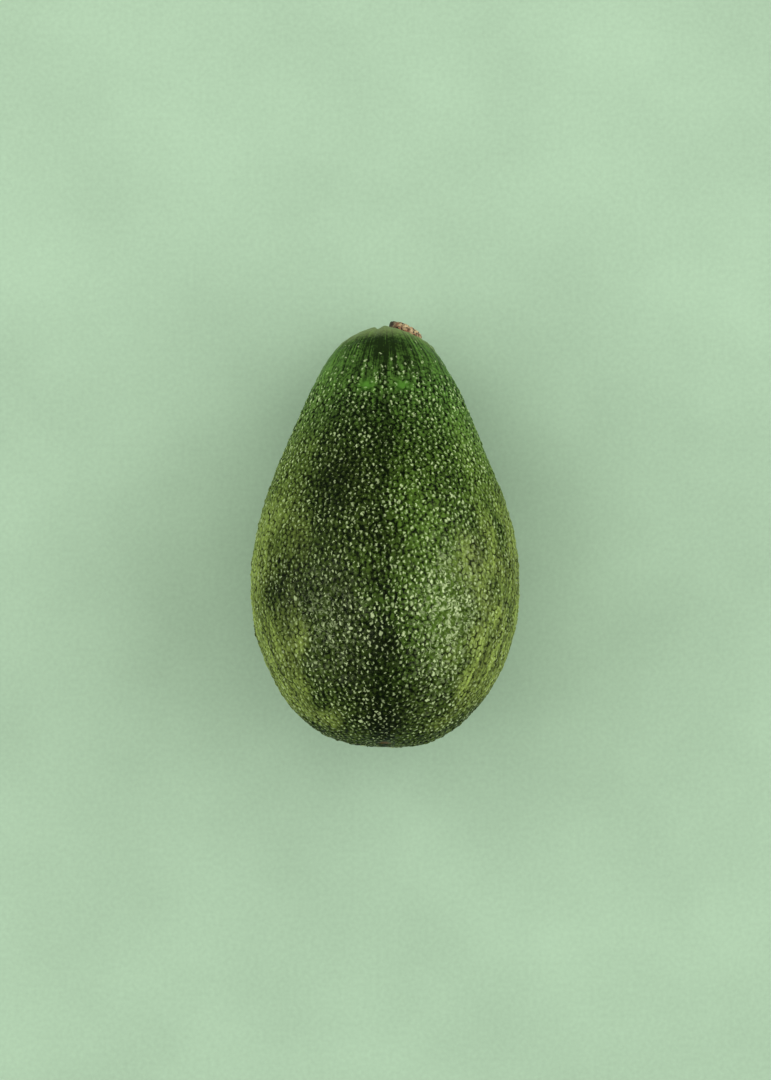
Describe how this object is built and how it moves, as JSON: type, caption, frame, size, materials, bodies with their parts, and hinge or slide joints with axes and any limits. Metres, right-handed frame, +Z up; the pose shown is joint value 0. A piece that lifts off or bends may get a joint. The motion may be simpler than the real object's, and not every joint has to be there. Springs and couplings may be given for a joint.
{
  "type": "avocado",
  "caption": "Whole pebbly-skinned avocado with its corky stem button, lying on its side on a small flat spot.",
  "frame": {"origin": "on the surface that the fruit lies on, under the middle of its outline from above", "axes": "+Y towards the stem end, +Z up, +X to the right when the stem end is up in the view from above"},
  "size_m": [0.0682, 0.1076, 0.0655],
  "materials": {
    "avocado_skin": "thick waxy rind, dark green with paler yellow-green pebbles, satin",
    "stem_cork": "dry corky stem end, matte, pitted"
  },
  "bodies": {
    "root": {"fruit": "avocado_skin", "stem_button": "stem_cork"}
  },
  "joints": []
}
